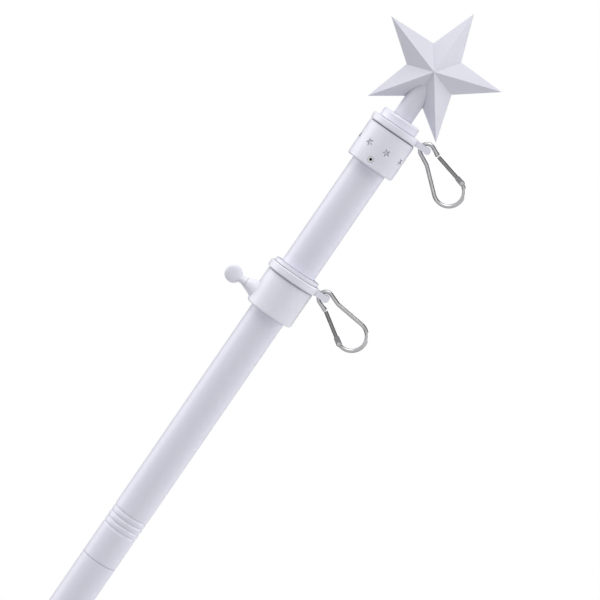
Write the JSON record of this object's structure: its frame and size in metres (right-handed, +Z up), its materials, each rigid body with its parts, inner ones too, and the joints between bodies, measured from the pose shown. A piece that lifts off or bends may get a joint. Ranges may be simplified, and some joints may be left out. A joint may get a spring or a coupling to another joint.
{
  "type": "house flagpole in its wall bracket",
  "caption": "White sectional tube flagpole with a star finial, spinning clip rings and a cast two-position wall bracket with wing screws.",
  "frame": {"origin": "on the back of the bracket's plate, where the axis of its straight-out bore meets the wall", "axes": "+X straight out from the wall, +Z up the wall, +Y to the side that the wing screws are on"},
  "size_m": [1.0784, 0.0842, 1.1134],
  "materials": {
    "pole_paint": "satin",
    "coupler_steel": "satin",
    "bracket_paint": "satin",
    "screw_zinc": "polished",
    "white_plastic": "satin",
    "star_plastic": "satin",
    "clip_nickel": "satin"
  },
  "bodies": {
    "pole": {"pole_section_1": "pole_paint", "pole_section_2": "pole_paint", "pole_section_3": "pole_paint", "pole_section_4": "pole_paint", "pole_coupler_1": "coupler_steel", "pole_coupler_2": "coupler_steel", "pole_coupler_3": "coupler_steel", "bracket_casting": "bracket_paint", "upper_collar": "white_plastic", "collar_set_screw": "screw_zinc", "finial_cap": "white_plastic", "star_finial": "star_plastic"},
    "upper_ring": {"upper_ring": "white_plastic"},
    "upper_clip": {"upper_clip_hook": "clip_nickel", "upper_clip_rivet": "clip_nickel"},
    "upper_gate": {"upper_clip_gate": "clip_nickel"},
    "lower_collar": {"lower_collar": "white_plastic", "lower_retainer": "white_plastic"},
    "thumb_screw": {"thumb_screw": "white_plastic"},
    "lower_ring": {"lower_ring": "white_plastic"},
    "lower_clip": {"lower_clip_hook": "clip_nickel", "lower_clip_rivet": "clip_nickel"},
    "lower_gate": {"lower_clip_gate": "clip_nickel"},
    "wing_screw_1": {"wing_screw_1": "screw_zinc"},
    "wing_screw_2": {"wing_screw_2": "screw_zinc"},
    "wing_screw_3": {"wing_screw_3": "screw_zinc"}
  },
  "joints": [
    {"name": "upper_ring_spin", "type": "hinge", "parent": "pole", "child": "upper_ring", "pos_m": [1.00438, 0, 0.97038], "axis": [0.7071, 0, 0.7071], "continuous": true},
    {"name": "upper_clip_swing", "type": "hinge", "parent": "upper_ring", "child": "upper_clip", "pos_m": [1.0227, 0, 0.95207], "axis": [0, 1, 0], "range_deg": [-26.8, 44.2]},
    {"name": "upper_gate_open", "type": "hinge", "parent": "upper_clip", "child": "upper_gate", "pos_m": [1.04148, 0, 0.92674], "axis": [0, -1, 0], "range_deg": [0, 13], "stiffness_Nm_per_rad": 0.02, "springref_deg": -11.46},
    {"name": "lower_collar_slide", "type": "slide", "parent": "pole", "child": "lower_collar", "axis": [-0.7071, 0, -0.7071], "range_m": [-0.079, 1.13]},
    {"name": "thumb_screw_turn", "type": "hinge", "parent": "lower_collar", "child": "thumb_screw", "pos_m": [0.88064, 0, 0.89529], "axis": [-0.7071, 0, 0.7071], "continuous": true},
    {"name": "lower_ring_spin", "type": "hinge", "parent": "lower_collar", "child": "lower_ring", "pos_m": [0.91988, 0, 0.88588], "axis": [0.7071, 0, 0.7071], "continuous": true},
    {"name": "lower_clip_swing", "type": "hinge", "parent": "lower_ring", "child": "lower_clip", "pos_m": [0.9382, 0, 0.86757], "axis": [0, -1, 0], "range_deg": [-51, 90]},
    {"name": "lower_gate_open", "type": "hinge", "parent": "lower_clip", "child": "lower_gate", "pos_m": [0.94146, 0, 0.83621], "axis": [0, 1, 0], "range_deg": [0, 13], "stiffness_Nm_per_rad": 0.02, "springref_deg": -11.46},
    {"name": "wing_screw_1_turn", "type": "hinge", "parent": "pole", "child": "wing_screw_1", "pos_m": [0.09319, 0.03, 0], "axis": [0, 1, 0], "continuous": true},
    {"name": "wing_screw_2_turn", "type": "hinge", "parent": "pole", "child": "wing_screw_2", "pos_m": [0.06966, 0.03, 0.03566], "axis": [0, 1, 0], "continuous": true},
    {"name": "wing_screw_3_turn", "type": "hinge", "parent": "pole", "child": "wing_screw_3", "pos_m": [0.03777, 0.03, 0.00377], "axis": [0, 1, 0], "continuous": true}
  ]
}
